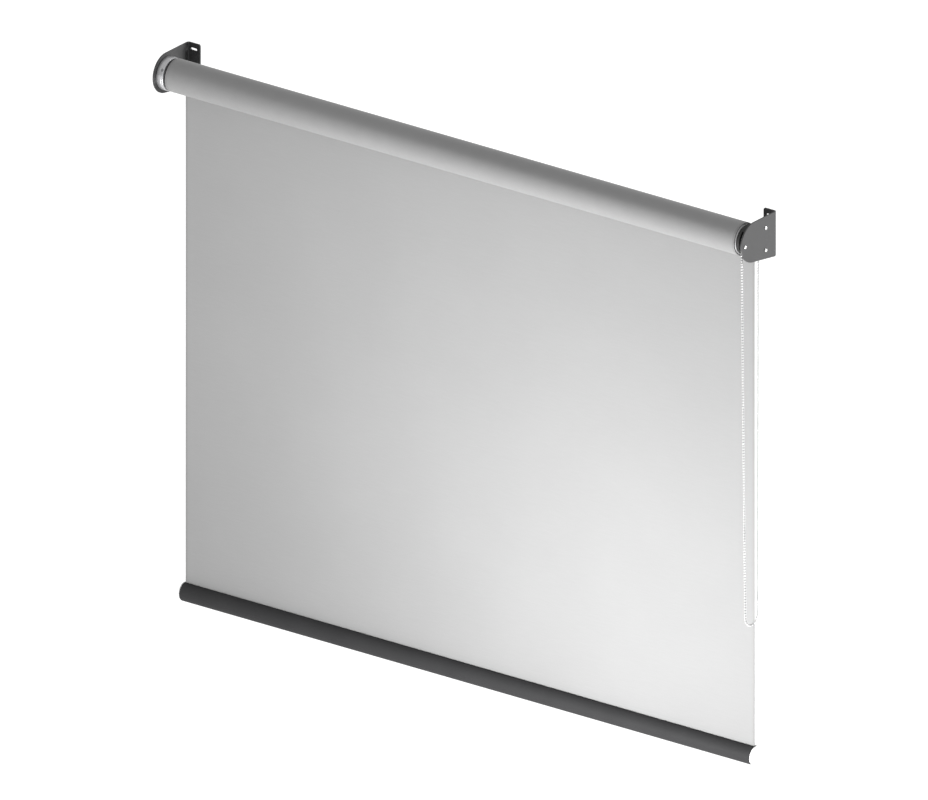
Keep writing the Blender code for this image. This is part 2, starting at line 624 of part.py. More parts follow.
def chain_tube(name, points):
    """One stretch of the chain as a plain tube of the beads' diameter."""
    curve = bpy.data.curves.new(name, "CURVE")
    curve.dimensions = "3D"
    curve.bevel_depth = BEAD_D / 2
    curve.bevel_resolution = 2
    curve.use_fill_caps = True
    spline = curve.splines.new("POLY")
    spline.points.add(len(points) - 1)
    for point, (y, z) in zip(spline.points, points):
        point.co = (end_x(1, WHEEL_X), AXIS_Y + y, z, 1.0)
    made = bpy.data.objects.new(name, curve)
    made.data.materials.append(finish("bright_steel"))
    bpy.context.collection.objects.link(made)


def chain():
    """Endless ball chain: the hanging loop, and the half turn that lies in the wheel's groove."""
    chain_tube("chain_loop", smooth_route(CHAIN_ROUTE, CHAIN_STEPS))
    gap = degrees(FIT / PITCH_R)
    chain_tube("chain_wrap", arc((0.0, 0.0), PITCH_R, gap, 180.0 - gap, SMALL_STEPS))


def main():
    """Build every piece of the blind."""
    clear_scene()
    fixed = empty("fixed_frame", (0.0, 0.0, 0.0))
    fittings = empty("fittings_axis", (0.0, AXIS_Y, 0.0))
    turning = empty("roller_axis", (0.0, AXIS_Y, 0.0))
    wheel_axis = empty("wheel_axis", (0.0, AXIS_Y, 0.0))
    lifting = empty("bar_slide", (0.0, SHEET_Y, BAR_Z))

    bracket("right_bracket", 1, DRIVE_SCREWS, fixed)
    bracket("left_bracket", -1, circle_points(IDLE_SCREW_CIRCLE_R, 3, 90.0), fixed)
    mount_plate(fittings)
    for i, (y, z) in enumerate(DRIVE_SCREWS):
        screw(f"drive_screw_{i + 1}", 1, y, z, MOUNT_END, fittings)
    drive_core(fittings)
    chain_guard(fittings)
    chain_wheel(wheel_axis)
    for i, start in enumerate(SPRING_X):
        brake_spring(f"brake_spring_{i + 1}", start, wheel_axis)
    crown(turning)
    roller(turning)
    idle_end(fittings, turning)
    bottom_bar(lifting)
    fabric_sheet()
    chain()


main()
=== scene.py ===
"""Finished surfaces of a chain-driven roller blind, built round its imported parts.

Everything is in metres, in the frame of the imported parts: +X towards the chain end, +Y into the wall and +Z up.
"""
import logging
from dataclasses import dataclass, field
from enum import Enum
from math import asin, atan2, cos, degrees, floor, pi, radians, sin, sqrt
from typing import Callable, Iterable, Sequence

import bmesh
import bpy
from mathutils import Matrix, Vector


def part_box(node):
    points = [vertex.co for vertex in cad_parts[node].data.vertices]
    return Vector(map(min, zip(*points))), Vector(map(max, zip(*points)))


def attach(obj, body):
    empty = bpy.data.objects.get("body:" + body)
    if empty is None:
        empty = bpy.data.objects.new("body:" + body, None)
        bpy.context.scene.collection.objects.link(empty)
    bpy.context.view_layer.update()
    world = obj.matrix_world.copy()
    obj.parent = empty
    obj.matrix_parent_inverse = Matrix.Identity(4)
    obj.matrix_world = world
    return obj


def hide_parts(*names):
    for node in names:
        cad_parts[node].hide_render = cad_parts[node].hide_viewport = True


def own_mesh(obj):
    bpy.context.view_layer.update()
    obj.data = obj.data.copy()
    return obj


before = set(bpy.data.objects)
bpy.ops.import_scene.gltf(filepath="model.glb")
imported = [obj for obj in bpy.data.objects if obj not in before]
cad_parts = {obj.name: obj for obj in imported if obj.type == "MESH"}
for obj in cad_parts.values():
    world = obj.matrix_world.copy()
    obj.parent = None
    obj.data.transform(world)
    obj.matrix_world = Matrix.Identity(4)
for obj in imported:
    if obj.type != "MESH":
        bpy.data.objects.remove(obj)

log = logging.getLogger("roller_blind")

Point2 = tuple[float, float]

SMOOTH_ANGLE = 32.0
MERGE = 1e-6


class Axis(Enum):
    """Direction along which an outline is extruded."""

    X = 0
    Y = 1
    Z = 2


class End(Enum):
    """The two ends of the blind, as the sign of X."""

    IDLE = -1
    DRIVE = 1


class Grain(Enum):
    """How the fine relief of a hard surface runs."""

    EVEN = (1.0, 1.0, 1.0)
    ALONG = (0.02, 1.0, 1.0)
    ROUND = (1.0, 0.05, 0.05)


# ---------------------------------------------------------------- materials


class Graph:
    """A material's node tree, with short calls for adding and joining nodes."""

    def __init__(self, name: str) -> None:
        """Start a material with one Principled shader.

        Args:
            name: The material's name.
        """
        self.material = bpy.data.materials.new(name)
        self.material.use_nodes = True
        self.tree = self.material.node_tree
        self.shader = self.tree.nodes["Principled BSDF"]

    def node(self, kind: str, **settings: object) -> bpy.types.Node:
        """Add a node.

        Args:
            kind: The node's type, without its leading "ShaderNode".
            settings: Attributes to set on it.

        Returns:
            The new node.
        """
        made = self.tree.nodes.new(f"ShaderNode{kind}")
        for name, value in settings.items():
            setattr(made, name, value)
        return made

    def join(self, source: bpy.types.NodeSocket, target: bpy.types.NodeSocket) -> None:
        """Link one socket to another."""
        self.tree.links.new(source, target)

    def set(self, **values: object) -> None:
        """Set sockets of the shader itself; an underscore in a name stands for a space."""
        for name, value in values.items():
            self.shader.inputs[name.replace("_", " ")].default_value = value

    def math(self, operation: str, first: object, second: object = 0.0) -> bpy.types.NodeSocket:
        """Add a Math node.

        Args:
            operation: The node's operation.
            first: A socket or a number.
            second: A socket or a number.

        Returns:
            The node's output.
        """
        made = self.node("Math", operation=operation)
        for socket, value in zip(made.inputs, (first, second)):
            if isinstance(value, bpy.types.NodeSocket):
                self.join(value, socket)
            else:
                socket.default_value = value
        return made.outputs[0]

    def coordinates(self, source: str, scale: Sequence[float]) -> bpy.types.NodeSocket:
        """Coordinates with their own scale on each axis.

        Args:
            source: Output of the Texture Coordinate node, Object or UV.
            scale: Scale along X, Y and Z.

        Returns:
            The scaled vector.
        """
        place = self.node("Mapping")
        place.inputs["Scale"].default_value = scale
        self.join(self.node("TexCoord").outputs[source], place.inputs["Vector"])
        return place.outputs["Vector"]

    def noise(self, vector: bpy.types.NodeSocket, scale: float, detail: float = 2.0) -> bpy.types.NodeSocket:
        """Smooth noise.

        Args:
            vector: Where it is read.
            scale: Its scale.
            detail: Its octaves.

        Returns:
            The noise value, about 0.5 on average.
        """
        made = self.node("TexNoise")
        made.inputs["Scale"].default_value = scale
        made.inputs["Detail"].default_value = detail
        self.join(vector, made.inputs["Vector"])
        return made.outputs["Fac"]

    def spread(self, value: bpy.types.NodeSocket, low: float, high: float) -> bpy.types.NodeSocket:
        """Map the middle of a noise to a range.

        Args:
            value: The noise.
            low: Result at its usual low.
            high: Result at its usual high.

        Returns:
            The mapped value.
        """
        made = self.node("MapRange")
        for name, number in (("From Min", 0.3), ("From Max", 0.7), ("To Min", low), ("To Max", high)):
            made.inputs[name].default_value = number
        self.join(value, made.inputs["Value"])
        return made.outputs["Result"]

    def tint(self, colour: Sequence[float], factor: bpy.types.NodeSocket) -> None:
        """Colour the surface, lighter and darker with a factor near 1.

        Args:
            colour: The finish's colour, linear.
            factor: What it is multiplied by.
        """
        scaled = self.node("VectorMath", operation="SCALE")
        scaled.inputs[0].default_value = colour
        self.join(factor, scaled.inputs["Scale"])
        self.join(scaled.outputs[0], self.shader.inputs["Base Color"])

    def relief(self, height: bpy.types.NodeSocket, depth: float, strength: float) -> None:
        """Give the surface fine relief.

        Args:
            height: The relief, about 0 to 1.
            depth: Its depth in metres.
            strength: How far it shows.
        """
        bump = self.node("Bump")
        bump.inputs["Distance"].default_value = depth
        bump.inputs["Strength"].default_value = strength
        self.join(height, bump.inputs["Height"])
        self.join(bump.outputs["Normal"], self.shader.inputs["Normal"])


@dataclass(frozen=True)
class HardFinish:
    """A metal, plastic or powder-coated surface with fine grain.

    Attributes:
        name: The material's name.
        slot: The part record's material slot.
        colour: Linear colour.
        rough: Roughness.
        metal: Metallic value.
        grain: How the relief runs.
        grain_size: Size of the relief, in metres.
        grain_depth: Depth of the relief, in metres.
        mottle: Share by which the colour varies.
        rough_spread: How far the roughness varies.
        specular: Specular level.
    """

    name: str
    slot: str
    colour: tuple[float, float, float]
    rough: float
    metal: float = 0.0
    grain: Grain = Grain.EVEN
    grain_size: float = 0.0006
    grain_depth: float = 0.00002
    mottle: float = 0.05
    rough_spread: float = 0.06
    specular: float = 0.5

    def material(self) -> bpy.types.Material:
        """Return the finish's material, made once."""
        made = bpy.data.materials.get(self.name)
        if made:
            return made
        graph = Graph(self.name)
        graph.set(Metallic=self.metal, Specular_IOR_Level=self.specular)
        place = graph.coordinates("Object", self.grain.value)
        grain = graph.noise(place, 1.0 / self.grain_size)
        broad = graph.noise(graph.coordinates("Object", (1.0, 1.0, 1.0)), 14.0, 3.0)
        graph.tint(self.colour, graph.spread(broad, 1.0 - self.mottle, 1.0 + self.mottle))
        rough = graph.spread(grain, self.rough - self.rough_spread, self.rough + self.rough_spread)
        graph.join(rough, graph.shader.inputs["Roughness"])
        graph.relief(grain, self.grain_depth, 0.6)
        return graph.material


@dataclass(frozen=True)
class ClothFinish:
    """A coated plain-weave cloth with heat-cut edges.

    Attributes:
        name: The material's name.
        slot: The part record's material slot.
        colour: Linear colour.
        source: Coordinates that the weave follows, Object on the flat sheet and UV on the roll.
        axes: Which two of the coordinates the threads run along.
        edge: Half width of the cloth, where its edges are.
        thread: Spacing of the threads, in metres.
        selvedge: Width of the darker strip along each edge.
        selvedge_shade: Share of light that the strip loses.
    """

    name: str
    slot: str
    colour: tuple[float, float, float]
    source: str
    axes: tuple[str, str]
    edge: float
    thread: float = 0.0006
    selvedge: float = 0.005
    selvedge_shade: float = 0.10

    def material(self) -> bpy.types.Material:
        """Return the finish's material, made once."""
        made = bpy.data.materials.get(self.name)
        if made:
            return made
        graph = Graph(self.name)
        graph.set(Roughness=0.85, Specular_IOR_Level=0.25, Sheen_Weight=0.12, Sheen_Roughness=0.5)
        split = graph.node("SeparateXYZ")
        whole = graph.coordinates(self.source, (1.0, 1.0, 1.0))
        graph.join(whole, split.inputs[0])
        across, along = (split.outputs[axis] for axis in self.axes)
        turn = 2 * pi / self.thread
        warp = graph.math("SINE", graph.math("MULTIPLY", across, turn))
        weft = graph.math("SINE", graph.math("MULTIPLY", along, turn))
        weave = graph.math("MULTIPLY_ADD", warp, weft)
        crossing = graph.math("MULTIPLY", warp, weft)
        height = graph.math("MULTIPLY_ADD", crossing, 0.5)
        height.node.inputs[2].default_value = 0.5
        graph.tree.nodes.remove(weave.node)
        slub = graph.noise(graph.coordinates(self.source, (40.0, 40.0, 900.0)), 1.0, 2.0)
        cloud = graph.noise(whole, 5.0, 3.0)
        shade = graph.math("MULTIPLY", graph.spread(slub, 0.985, 1.015), graph.spread(cloud, 0.985, 1.015))
        threads = graph.math("MULTIPLY_ADD", height, 0.06)
        threads.node.inputs[2].default_value = 0.97
        shade = graph.math("MULTIPLY", shade, threads)
        strip = graph.math("GREATER_THAN", graph.math("ABSOLUTE", across), self.edge - self.selvedge)
        loss = graph.math("MULTIPLY_ADD", strip, -self.selvedge_shade)
        loss.node.inputs[2].default_value = 1.0
        graph.tint(self.colour, graph.math("MULTIPLY", shade, loss))
        graph.relief(height, 0.00008, 0.35)
        return graph.material


POWDER_GREY = HardFinish("powder_grey", "bracket", (0.040, 0.040, 0.041), 0.48, grain_size=0.0009)
BRIGHT_STEEL = HardFinish("bright_steel", "bright_steel", (0.86, 0.86, 0.86), 0.22, 1.0, mottle=0.03)
NICKEL_BEADS = HardFinish("nickel_beads", "bright_steel", (0.62, 0.62, 0.62), 0.32, 0.8, mottle=0.02)
# Near-black links, darker than the beads' own metal: painted shade in the gaps between the beads.
LINKS_PAINTED_SHADE = HardFinish("links_painted_shade", "steel", (0.060, 0.060, 0.060), 0.45, 0.5)
PLAIN_STEEL = HardFinish("plain_steel", "steel", (0.42, 0.42, 0.43), 0.38, 1.0, Grain.ROUND)
TUBE_METAL = HardFinish("tube_metal", "aluminium", (0.80, 0.80, 0.81), 0.34, 0.4, Grain.ALONG)
SATIN_SILVER = HardFinish("satin_silver", "housing", (0.50, 0.50, 0.51), 0.32, 0.75, mottle=0.08)
BLACK_PLASTIC = HardFinish("black_plastic", "black_plastic", (0.006, 0.006, 0.006), 0.50, specular=0.12)
WHITE_PLASTIC = HardFinish("white_plastic", "white_plastic", (0.90, 0.90, 0.90), 0.50, mottle=0.01)
ANTHRACITE = HardFinish("anthracite", "bar", (0.034, 0.034, 0.035), 0.66, 0.0, Grain.ALONG, 0.0008, specular=0.1)
CLOTH_COLOUR = (0.283, 0.283, 0.283)
# The wound cloth is the hanging cloth's fabric in a darker colour: painted shade on the roll.
WOUND_COLOUR_PAINTED_SHADE = (0.252, 0.252, 0.252)


# ---------------------------------------------------------------- shaping


def arc(centre: Point2, radius: float, start: float, end: float, steps: int) -> list[Point2]:
    """Points of an arc.

    Args:
        centre: Its centre.
        radius: Its radius.
        start: First angle, in degrees.
        end: Last angle, in degrees.
        steps: Number of segments.

    Returns:
        The points, both ends included.
    """
    angles = [radians(start + (end - start) * i / steps) for i in range(steps + 1)]
    return [(centre[0] + radius * cos(a), centre[1] + radius * sin(a)) for a in angles]


class Form:
    """A bmesh being shaped, with the few moves that the blind's pieces share."""

    def __init__(self) -> None:
        """Start with an empty bmesh."""
        self.bm = bmesh.new()

    def turn(self, profile: Sequence[Point2], steps: int, closed: bool = False) -> "Form":
        """Turn a profile about the X axis.

        Args:
            profile: Points as (x, radius).
            steps: Segments in the full turn.
            closed: Whether the last point joins the first, as in a ring.

        Returns:
            The form itself.
        """
        points = [self.bm.verts.new((x, 0.0, r)) for x, r in profile]
        edges = [self.bm.edges.new(pair) for pair in zip(points, points[1:])]
        if closed:
            edges.append(self.bm.edges.new((points[-1], points[0])))
        bmesh.ops.spin(
            self.bm, geom=points + edges, cent=(0, 0, 0), axis=(1, 0, 0), angle=2 * pi, steps=steps, use_merge=True
        )
        bmesh.ops.remove_doubles(self.bm, verts=self.bm.verts, dist=MERGE)
        return self.outward()

    def outline(self, points: Sequence[Point2], axis: Axis, low: float, high: float) -> "Form":
        """Extrude a closed outline along an axis.

        Args:
            points: The outline, in the other two coordinates in order.
            axis: The axis.
            low: Where it starts.
            high: Where it ends.

        Returns:
            The form itself.
        """
        corners = []
        for u, v in points:
            place = [u, v]
            place.insert(axis.value, low)
            corners.append(self.bm.verts.new(place))
        face = self.bm.faces.new(corners)
        grown = bmesh.ops.extrude_face_region(self.bm, geom=[face])
        step = Vector([high - low if i == axis.value else 0.0 for i in range(3)])
        moved = [v for v in grown["geom"] if isinstance(v, bmesh.types.BMVert)]
        bmesh.ops.translate(self.bm, verts=moved, vec=step)
        return self.outward()

    def outward(self) -> "Form":
        """Point every face outwards."""
        bmesh.ops.recalc_face_normals(self.bm, faces=self.bm.faces)
        return self

    def sharp_edges(self, angle: float) -> list[bmesh.types.BMEdge]:
        """Edges whose two faces meet at more than an angle, in degrees."""
        return [e for e in self.bm.edges if len(e.link_faces) == 2 and e.calc_face_angle() > radians(angle)]

    def soften(self, width: float, segments: int = 2, angle: float = 40.0) -> "Form":
        """Round the sharp edges.

        Args:
            width: Width of the rounding.
            segments: Its segments.
            angle: Least angle of an edge that is rounded, in degrees.

        Returns:
            The form itself.
        """
        bmesh.ops.bevel(
            self.bm, geom=self.sharp_edges(angle), offset=width, offset_type="OFFSET", segments=segments,
            profile=0.5, affect="EDGES", clamp_overlap=True, material=-1,
        )
        return self

    def move(self, matrix: Matrix) -> "Form":
        """Move the whole form by a matrix."""
        bmesh.ops.transform(self.bm, matrix=matrix, verts=self.bm.verts)
        return self

    def shift(self, x: float = 0.0, y: float = 0.0, z: float = 0.0) -> "Form":
        """Move the whole form by a distance."""
        return self.move(Matrix.Translation((x, y, z)))

    def piece(
        self, name: str, finish: HardFinish | ClothFinish, smooth: float = SMOOTH_ANGLE, flat: float = 1.0
    ) -> bpy.types.Object:
        """Make the form an object with its finish.

        Args:
            name: The piece's name.
            finish: Its finish.
            smooth: Angle over which an edge stays sharp, in degrees.
            flat: Area from which a face is a true flat, in square metres.

        Returns:
            The new object, at the origin.
        """
        mesh = bpy.data.meshes.new(name)
        self.bm.to_mesh(mesh)
        self.bm.free()
        stale = mesh.attributes.get("custom_normal")
        if stale:
            mesh.attributes.remove(stale)
        mesh.set_sharp_from_angle(angle=radians(smooth))
        for face in mesh.polygons:
            face.use_smooth = face.area < flat
        mesh.materials.append(finish.material())
        made = bpy.data.objects.new(name, mesh)
        bpy.context.collection.objects.link(made)
        return made


def copy_of(node: str) -> Form:
    """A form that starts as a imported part's own shape.

    Args:
        node: The part's node.

    Returns:
        The form, with its triangles joined into the flat faces that they came from.
    """
    form = Form()
    form.bm.from_mesh(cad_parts[node].data)
    bmesh.ops.remove_doubles(form.bm, verts=form.bm.verts, dist=MERGE)
    bmesh.ops.dissolve_limit(
        form.bm, angle_limit=radians(0.5), verts=form.bm.verts, edges=form.bm.edges, use_dissolve_boundaries=False
    )
    return form


def cut(target: bpy.types.Object, form: Form) -> None:
    """Cut a form out of a piece for good.

    Args:
        target: The piece.
        form: What is cut out of it.
    """
    guide = form.piece(f"{target.name}_cut", BLACK_PLASTIC)
    boolean = target.modifiers.new("cut", "BOOLEAN")
    boolean.object = guide
    boolean.operation = "DIFFERENCE"
    seen = target.evaluated_get(bpy.context.evaluated_depsgraph_get())
    mesh = bpy.data.meshes.new_from_object(seen)
    target.modifiers.clear()
    target.data = mesh
    mesh.set_sharp_from_angle(angle=radians(SMOOTH_ANGLE))
    bpy.data.objects.remove(guide, do_unlink=True)


def settle(piece: bpy.types.Object, body: str, slot: str, *nodes: str) -> bpy.types.Object:
    """Tie a finished piece to the parts that it stands for.

    Args:
        piece: The piece.
        body: The body that it rides on.
        slot: The part record's material slot; not used.
        nodes: The parts that it replaces.

    Returns:
        The piece.
    """
    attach(piece, body)
    if nodes:
        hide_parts(*nodes)
    log.info("%s rides on %s and stands for %s", piece.name, body, ", ".join(nodes) or "nothing")
    return piece


def dress(nodes: Iterable[str], finish: HardFinish) -> None:
    """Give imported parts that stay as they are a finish.

    Args:
        nodes: Their nodes.
        finish: The finish.
    """
    for node in nodes:
        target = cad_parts[node]
        if not target.material_slots:
            target.data.materials.append(None)
        for slot in target.material_slots:
            slot.link = "OBJECT"
            slot.material = finish.material()
        log.info("%s keeps its shape, in %s", node, finish.name)


@dataclass(frozen=True)
class Layout:
    """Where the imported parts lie, read once from the frame.

    Attributes:
        axis_y: Y of the roller's axis.
        half: Outer face of each bracket from the middle.
        cloth_half: Half width of the cloth.
        tube_half: Half length of the tube.
        tube_r: Outer radius of the tube.
        roll_r: Outer radius of the roll.
        sheet_y: Middle of the hanging cloth's thickness.
        sheet_low: Lower end of the hanging cloth.
    """

    axis_y: float
    half: float
    cloth_half: float
    tube_half: float
    tube_r: float
    roll_r: float
    sheet_y: float
    sheet_low: float

    @classmethod
    def read(cls) -> "Layout":
        """Read the frame's boxes."""
        roll_low, roll_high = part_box("fabric_roll")
        tube_low, tube_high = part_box("roller_tube")
        sheet_low, sheet_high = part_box("fabric_sheet")
        return cls(
            axis_y=(roll_low.y + roll_high.y) / 2,
            half=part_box("right_bracket")[1].x,
            cloth_half=roll_high.x,
            tube_half=tube_high.x,
            tube_r=(tube_high.y - tube_low.y) / 2,
            roll_r=(roll_high.y - roll_low.y) / 2,
            sheet_y=(sheet_low.y + sheet_high.y) / 2,
            sheet_low=sheet_low.z,
        )


# ---------------------------------------------------------------- the blind


@dataclass
class WallBrackets:
    """The two bent sheet brackets, and the plate behind the chain wheel.

    Attributes:
        edge: Rounding of the sheet's cut edges.
        flat: Area from which a face is a true flat.
    """

    edge: float = 0.0005
    flat: float = 0.0001

    def build(self) -> None:
        """Make the brackets and the plate with softened edges."""
        for name, node in (
            ("left_bracket_sheet", "left_bracket"),
            ("right_bracket_sheet", "right_bracket"),
            ("drive_mount_sheet", "drive_mount_plate"),
        ):
            form = copy_of(node).soften(self.edge)
            settle(form.piece(name, POWDER_GREY, flat=self.flat), "root", "bracket", node)


@dataclass
class Screws:
    """Low round-headed screws with a hexagon socket.

    Attributes:
        steps: Segments round the head, a multiple of six.
        socket: Half width of the socket across its flats.
        depth: Depth of the socket.
        thread_pitch: Spacing of the thread's turns on the shank.
    """

    steps: int = 48
    socket: float = 0.00125
    depth: float = 0.0014
    thread_pitch: float = 0.0007

    def build(self) -> None:
        """Make the drive end's three screws and the idle end's three."""
        for end, stem in ((End.DRIVE, "drive_screw"), (End.IDLE, "idle_screw")):
            for i in (1, 2, 3):
                self.one(f"{stem}_{i}", end)

    def one(self, node: str, end: End) -> None:
        """Make one screw in place of a part.

        Args:
            node: The part.
            end: The end of the blind that it is at.
        """
        low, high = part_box(node)
        head_r = (high.y - low.y) / 2
        length = high.x - low.x
        head_h = 0.3 * head_r * 2
        shank_r = head_r * 0.52
        flat_r = head_r * 0.62
        rim = head_h * 0.3
        profile = [(0.0, flat_r)]
        profile += [
            (head_h * 0.7 * (1 - sin(a)), flat_r + (head_r - flat_r) * cos(a)) for a in (radians(55), radians(25))
        ]
        profile += [(head_h - rim, head_r), (head_h - rim * 0.3, head_r), (head_h, head_r * 0.95), (head_h, shank_r)]
        turns = floor((length - head_h) / self.thread_pitch) - 1
        for i in range(1, turns):
            crest = head_h + i * self.thread_pitch
            profile += [(crest, shank_r), (crest + self.thread_pitch / 2, shank_r * 0.88)]
        profile += [(length, shank_r * 0.8), (length, 0.0)]
        form = Form()
        form.turn(profile, self.steps)
        self.sink_socket(form)
        form.outward()
        if end is End.DRIVE:
            form.move(Matrix.Rotation(pi, 4, "Z"))
            form.shift(high.x, (low.y + high.y) / 2, (low.z + high.z) / 2)
        else:
            form.shift(low.x, (low.y + high.y) / 2, (low.z + high.z) / 2)
        settle(form.piece(f"{node}_finished", BRIGHT_STEEL), "root", "bright_steel", node)

    def sink_socket(self, form: Form) -> None:
        """Sink a hexagon socket into the open flat of a turned head.

        Args:
            form: The screw, open at x = 0.
        """
        rim = [e for e in form.bm.edges if e.is_boundary]
        mouth = self.drawn(form, rim, 0.0)
        for vert in mouth:
            angle = atan2(vert.co.z, vert.co.y)
            within = (angle % (pi / 3)) - pi / 6
            radius = self.socket / cos(within)
            vert.co.y = radius * cos(angle)
            vert.co.z = radius * sin(angle)
        walls = [e for e in form.bm.edges if e.is_boundary]
        self.drawn(form, walls, self.depth)
        bmesh.ops.holes_fill(form.bm, edges=[e for e in form.bm.edges if e.is_boundary], sides=0)

    @staticmethod
    def drawn(form: Form, edges: list[bmesh.types.BMEdge], depth: float) -> list[bmesh.types.BMVert]:
        """Extrude an edge loop inwards along X.

        Args:
            form: The form.
            edges: The loop.
            depth: How far it goes.

        Returns:
            The new vertices.
        """
        grown = bmesh.ops.extrude_edge_only(form.bm, edges=edges)["geom"]
        verts = [v for v in grown if isinstance(v, bmesh.types.BMVert)]
        bmesh.ops.translate(form.bm, verts=verts, vec=(depth, 0.0, 0.0))
        return verts


@dataclass
class Roller:
    """The grooved tube and the cloth wound on it.

    Attributes:
        layout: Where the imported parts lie.
        tube_steps: Segments round the tube.
        wraps: Turns of cloth left on the tube.
        cloth_t: Thickness of the cloth.
        wrap_steps: Segments in one turn of cloth.
        groove_w: Width of the tube's groove.
        groove_depth: Its depth.
        wall: The tube's wall.
        key_wall: Metal round the groove.
    """

    layout: Layout
    tube_steps: int = 120
    wraps: int = 4
    cloth_t: float = 0.0005
    wrap_steps: int = 96
    groove_w: float = 0.006
    groove_depth: float = 0.0033
    wall: float = 0.0018
    key_wall: float = 0.0015

    def build(self) -> None:
        """Make the tube and the wound cloth."""
        self.tube()
        self.cloth()

    def notched(self, radius: float, half_width: float, bottom: float) -> list[Point2]:
        """A circle with a square notch let into its top.

        Args:
            radius: The circle's radius.
            half_width: Half the notch's width.
            bottom: Height of the notch's floor above the centre.

        Returns:
            The outline, in Y and Z.
        """
        edge = degrees(asin(half_width / radius))
        outline = arc((0.0, 0.0), radius, 90.0 + edge, 450.0 - edge, self.tube_steps)
        return [*outline, (half_width, bottom), (-half_width, bottom)]

    def tube(self) -> None:
        """Make the tube: an outer and an inner outline bridged into one section, then drawn out."""
        radius = self.layout.tube_r
        bottom = radius - self.groove_depth
        outer = self.notched(radius, self.groove_w / 2, bottom)
        inner = self.notched(radius - self.wall, self.groove_w / 2 + self.key_wall, bottom - self.key_wall)
        form = Form()
        half = self.layout.tube_half
        loops = []
        for outline in (outer, inner):
            verts = [form.bm.verts.new((-half, y, z)) for y, z in outline]
            loops += [form.bm.edges.new(pair) for pair in zip(verts, verts[1:] + verts[:1])]
        section = bmesh.ops.bridge_loops(form.bm, edges=loops)["faces"]
        grown = bmesh.ops.extrude_face_region(form.bm, geom=section)["geom"]
        far = [v for v in grown if isinstance(v, bmesh.types.BMVert)]
        bmesh.ops.translate(form.bm, verts=far, vec=(2 * half, 0.0, 0.0))
        form.outward().shift(y=self.layout.axis_y)
        settle(form.piece("roller_tube_extrusion", TUBE_METAL), "roller", "aluminium", "roller_tube")

    def cloth(self) -> None:
        """Wind the cloth on in a spiral whose outer end meets the hanging cloth."""
        outer = self.layout.sheet_y - self.layout.axis_y
        inner = self.layout.tube_r + self.cloth_t
        form = Form()
        half = self.layout.cloth_half
        count = self.wraps * self.wrap_steps
        line = []
        for i in range(count + 1):
            share = i / count
            radius = outer + (inner - outer) * share
            angle = 2 * pi * self.wraps * share
            line.append(form.bm.verts.new((-half, radius * cos(angle), radius * sin(angle))))
        edges = [form.bm.edges.new(pair) for pair in zip(line, line[1:])]
        grown = bmesh.ops.extrude_edge_only(form.bm, edges=edges)["geom"]
        far = [v for v in grown if isinstance(v, bmesh.types.BMVert)]
        bmesh.ops.translate(form.bm, verts=far, vec=(2 * half, 0.0, 0.0))
        self.lay_uv(form, outer, inner)
        bmesh.ops.solidify(form.bm, geom=form.bm.faces, thickness=self.cloth_t)
        self.centre_walls(form)
        form.outward().shift(y=self.layout.axis_y)
        # The wound cloth takes the darker colour, painted shade on the roll.
        finish = ClothFinish("wound_cloth", "fabric", WOUND_COLOUR_PAINTED_SHADE, "UV", ("X", "Y"), half)
        settle(form.piece("wound_cloth", finish), "roller", "fabric", "fabric_roll")

    def lay_uv(self, form: Form, outer: float, inner: float) -> None:
        """Lay a UV map in metres, across the cloth and along the spiral.

        Args:
            form: The unthickened cloth.
            outer: Radius at the spiral's outer end.
            inner: Radius at its inner end.
        """
        layer = form.bm.loops.layers.uv.new("metres")
        mean = (outer + inner) / 2
        for face in form.bm.faces:
            middle = face.calc_center_median()
            radius = sqrt(middle.y**2 + middle.z**2)
            turns = (outer - radius) / (outer - inner) * self.wraps
            for loop in face.loops:
                own = loop.vert.co
                swing = atan2(own.z, own.y) - atan2(middle.z, middle.y)
                swing = (swing + pi) % (2 * pi) - pi
                loop[layer].uv = (own.x, (2 * pi * turns + swing) * mean)

    def centre_walls(self, form: Form) -> None:
        """Move the thickened cloth by half its thickness, so that its middle lies on the spiral."""
        radii = [sqrt(v.co.y**2 + v.co.z**2) for v in form.bm.verts]
        target = self.layout.sheet_y - self.layout.axis_y + self.cloth_t / 2
        move = target - max(radii)
        for vert, radius in zip(form.bm.verts, radii):
            vert.co.y *= (radius + move) / radius
            vert.co.z *= (radius + move) / radius


@dataclass
class HangingCloth:
    """The cloth from the back of the roll down to the hem spline.

    Attributes:
        layout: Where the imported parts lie.
        cloth_t: Thickness of the cloth.
        columns: Divisions across.
        rows: Divisions down.
        stir: Depth of the faint waves that hang in the cloth.
    """

    layout: Layout
    cloth_t: float = 0.0005
    columns: int = 72
    rows: int = 56
    stir: float = 0.0004

    def build(self) -> bpy.types.Object:
        """Make the cloth.

        Returns:
            The finished piece.
        """
        width = 2 * self.layout.cloth_half
        drop = -self.layout.sheet_low
        form = Form()
        bmesh.ops.create_grid(form.bm, x_segments=self.columns, y_segments=self.rows, size=0.5)
        bmesh.ops.scale(form.bm, vec=(width, drop, 1.0), verts=form.bm.verts)
        form.move(Matrix.Rotation(pi / 2, 4, "X"))
        form.shift(0.0, self.layout.sheet_y, -drop / 2)
        for vert in form.bm.verts:
            down = -vert.co.z / drop
            calm = 4 * down * (1 - down)
            wave = sin(7.3 * vert.co.x + 2.1 * down) + 0.6 * sin(17.0 * vert.co.x - 4.0 * down + 1.0)
            vert.co.y += self.stir * calm * wave
        bmesh.ops.solidify(form.bm, geom=form.bm.faces, thickness=self.cloth_t)
        form.outward()
        mean = sum(v.co.y for v in form.bm.verts) / len(form.bm.verts)
        form.shift(y=self.layout.sheet_y - mean)
        finish = ClothFinish("hanging_cloth", "fabric", CLOTH_COLOUR, "Object", ("X", "Z"), width / 2)
        piece = form.piece("hanging_cloth", finish)
        settle(piece, "root", "fabric", "fabric_sheet")
        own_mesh(piece)
        return piece


